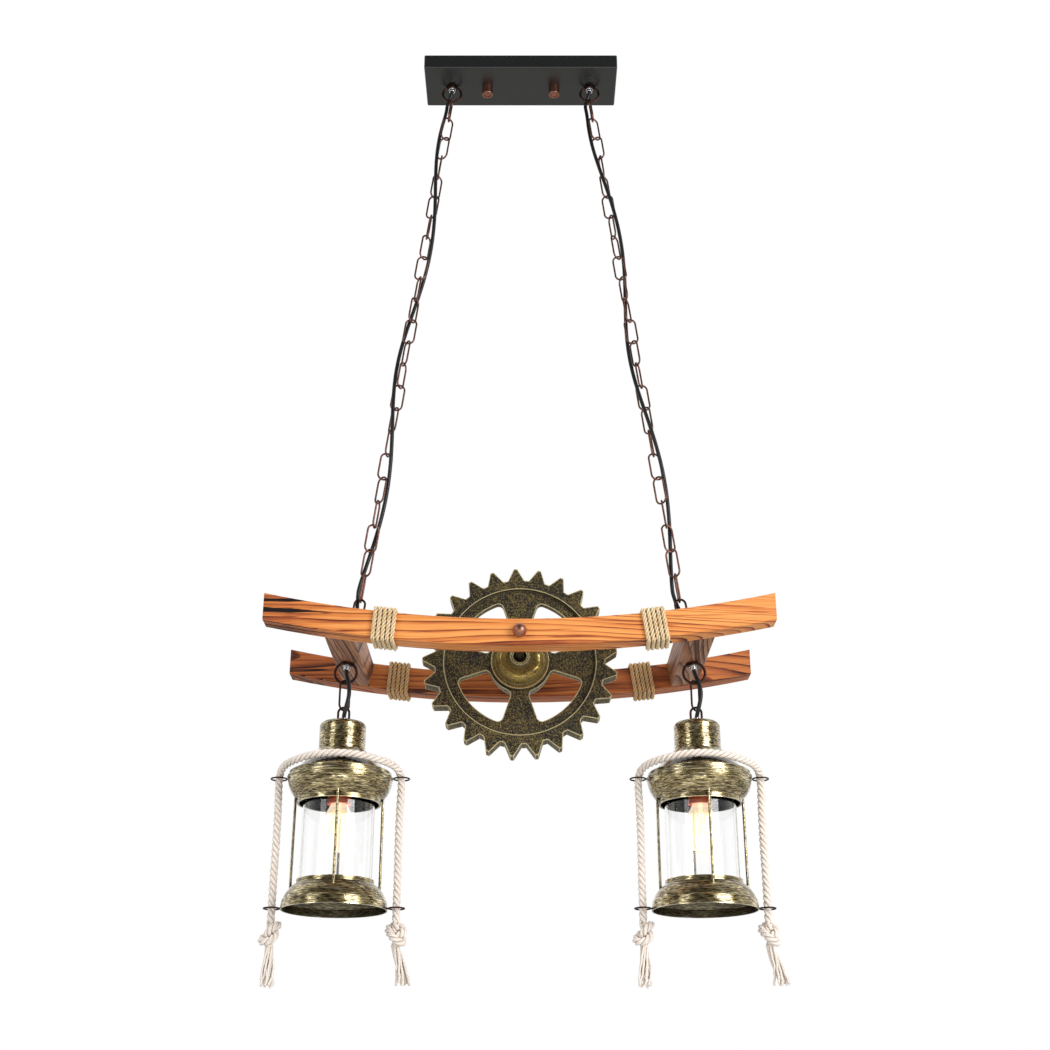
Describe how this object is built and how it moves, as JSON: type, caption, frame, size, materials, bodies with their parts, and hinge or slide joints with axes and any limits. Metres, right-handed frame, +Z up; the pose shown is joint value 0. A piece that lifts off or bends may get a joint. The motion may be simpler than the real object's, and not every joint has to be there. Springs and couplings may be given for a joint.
{
  "type": "wood beam pendant light",
  "caption": "Chain-hung pendant light: curved pine beams around a toothed gear wheel, with rope-dressed glass lanterns swinging under the crossbars and a flat ceiling canopy.",
  "frame": {"origin": "middle of the ceiling screws in the mounting bracket's top face, on the ceiling plane", "axes": "+Z up to the ceiling, X along the beams, +Y away from the front of the light"},
  "size_m": [0.7747, 0.3406, 1.6383],
  "materials": {
    "black_steel": "satin black powder coat on folded sheet",
    "zinc_steel": "zinc plated steel",
    "copper": "brushed antique copper",
    "chrome": "polished chrome",
    "dark_copper": "dark copper brown chain finish",
    "cord_black": "black flexible cord jacket",
    "terminal_white": "moulded terminal block",
    "pine": "carbonised pine, brushed grain with scorched stripes",
    "jute": "twisted jute cord",
    "aged_bronze": "cast resin gear with speckled antique bronze paint",
    "antique_brass": "black base with brushed antique brass rub-through",
    "bronze": "dark bronze",
    "steel_rod": "dark steel rod",
    "clear_glass": "clear glass chimney",
    "bulb_glass": "clear bulb glass",
    "holder_copper": "copper coloured lampholder",
    "screw_brass": "brass screw cap",
    "cotton": "three strand natural cotton rope"
  },
  "bodies": {
    "canopy": {"canopy_pan": "black_steel", "mounting_bracket": "zinc_steel", "bracket_studs": "zinc_steel", "finial_nuts": "copper", "canopy_loops": "dark_copper", "loop_lock_nuts": "zinc_steel", "canopy_cord_bushes": "chrome", "terminal_block": "terminal_white", "canopy_leads": "cord_black"},
    "hook_links": {"hook_links": "dark_copper"},
    "left_chain": {"left_chain": "dark_copper", "left_chain_cord": "cord_black"},
    "left_end_link": {"left_end_link": "dark_copper"},
    "right_chain": {"right_chain": "dark_copper", "right_chain_cord": "cord_black"},
    "frame": {"front_beam": "pine", "rear_beam": "pine", "left_crossbar": "pine", "right_crossbar": "pine", "crossbar_dowels": "pine", "front_wraps": "jute", "rear_wraps": "jute", "gear_wheel": "aged_bronze", "hub_dome": "antique_brass", "hub_drum": "black_steel", "gear_rod": "steel_rod", "rod_cap_nuts": "bronze", "rod_clamp_nuts": "steel_rod", "crossbar_eyes": "dark_copper", "crossbar_rings": "dark_copper", "crossbar_nipples": "zinc_steel", "crossbar_cord_bushes": "chrome"},
    "left_lantern_link": {"left_lantern_link": "dark_copper", "left_lantern_cord": "cord_black"},
    "left_lantern": {"left_lantern_eye": "dark_copper", "left_lantern_cord_bush": "chrome", "left_lantern_cap": "antique_brass", "left_lantern_hood": "antique_brass", "left_lantern_glass": "clear_glass", "left_lantern_base": "antique_brass", "left_lantern_guard_rods": "antique_brass", "left_lantern_eyelets": "dark_copper", "left_lantern_lampholder": "holder_copper", "left_lantern_bulb_cap": "screw_brass", "left_lantern_bulb_glass": "bulb_glass", "left_lantern_rope": "cotton"},
    "right_lantern_link": {"right_lantern_link": "dark_copper", "right_lantern_cord": "cord_black"},
    "right_lantern": {"right_lantern_eye": "dark_copper", "right_lantern_cord_bush": "chrome", "right_lantern_cap": "antique_brass", "right_lantern_hood": "antique_brass", "right_lantern_glass": "clear_glass", "right_lantern_base": "antique_brass", "right_lantern_guard_rods": "antique_brass", "right_lantern_eyelets": "dark_copper", "right_lantern_lampholder": "holder_copper", "right_lantern_bulb_cap": "screw_brass", "right_lantern_bulb_glass": "bulb_glass", "right_lantern_rope": "cotton"}
  },
  "joints": [
    {"name": "frame_swing", "type": "hinge", "parent": "canopy", "child": "hook_links", "pos_m": [0, 0, -0.062], "axis": [1, 0, 0], "range_deg": [-12, 12], "deforming": ["left_chain_cord", "right_chain_cord"]},
    {"name": "frame_sway", "type": "hinge", "parent": "hook_links", "child": "left_chain", "pos_m": [-0.13351, 0, -0.10496], "axis": [0, 1, 0], "range_deg": [-6, 6]},
    {"name": "left_end_link_turn", "type": "hinge", "parent": "left_chain", "child": "left_end_link", "pos_m": [-0.24924, 0, -1.00711], "axis": [0, 1, 0], "range_deg": [-3.5, 3.5]},
    {"name": "right_chain_sway", "type": "hinge", "parent": "hook_links", "child": "right_chain", "pos_m": [0.13351, 0, -0.10496], "axis": [0, 1, 0], "range_deg": [-6, 6]},
    {"name": "frame_tilt", "type": "hinge", "parent": "left_end_link", "child": "frame", "pos_m": [0, 0, -1.0463], "axis": [1, 0, 0], "range_deg": [-12, 12]},
    {"name": "left_lantern_swing", "type": "hinge", "parent": "frame", "child": "left_lantern_link", "pos_m": [-0.27234, 0, -1.18547], "axis": [1, 0, 0], "range_deg": [-15, 15], "deforming": ["left_lantern_cord"]},
    {"name": "left_lantern_sway", "type": "hinge", "parent": "left_lantern_link", "child": "left_lantern", "pos_m": [-0.27234, 0, -1.22878], "axis": [0, 1, 0], "range_deg": [-15, 15]},
    {"name": "right_lantern_swing", "type": "hinge", "parent": "frame", "child": "right_lantern_link", "pos_m": [0.27234, 0, -1.18547], "axis": [1, 0, 0], "range_deg": [-15, 15], "deforming": ["right_lantern_cord"]},
    {"name": "right_lantern_sway", "type": "hinge", "parent": "right_lantern_link", "child": "right_lantern", "pos_m": [0.27234, 0, -1.22878], "axis": [0, 1, 0], "range_deg": [-15, 15]}
  ],
  "couplings": [
    {"joint": "left_end_link_turn", "follows": "frame_sway", "ratio": -0.53566},
    {"joint": "right_chain_sway", "follows": "frame_sway", "ratio": 0.9777}
  ]
}
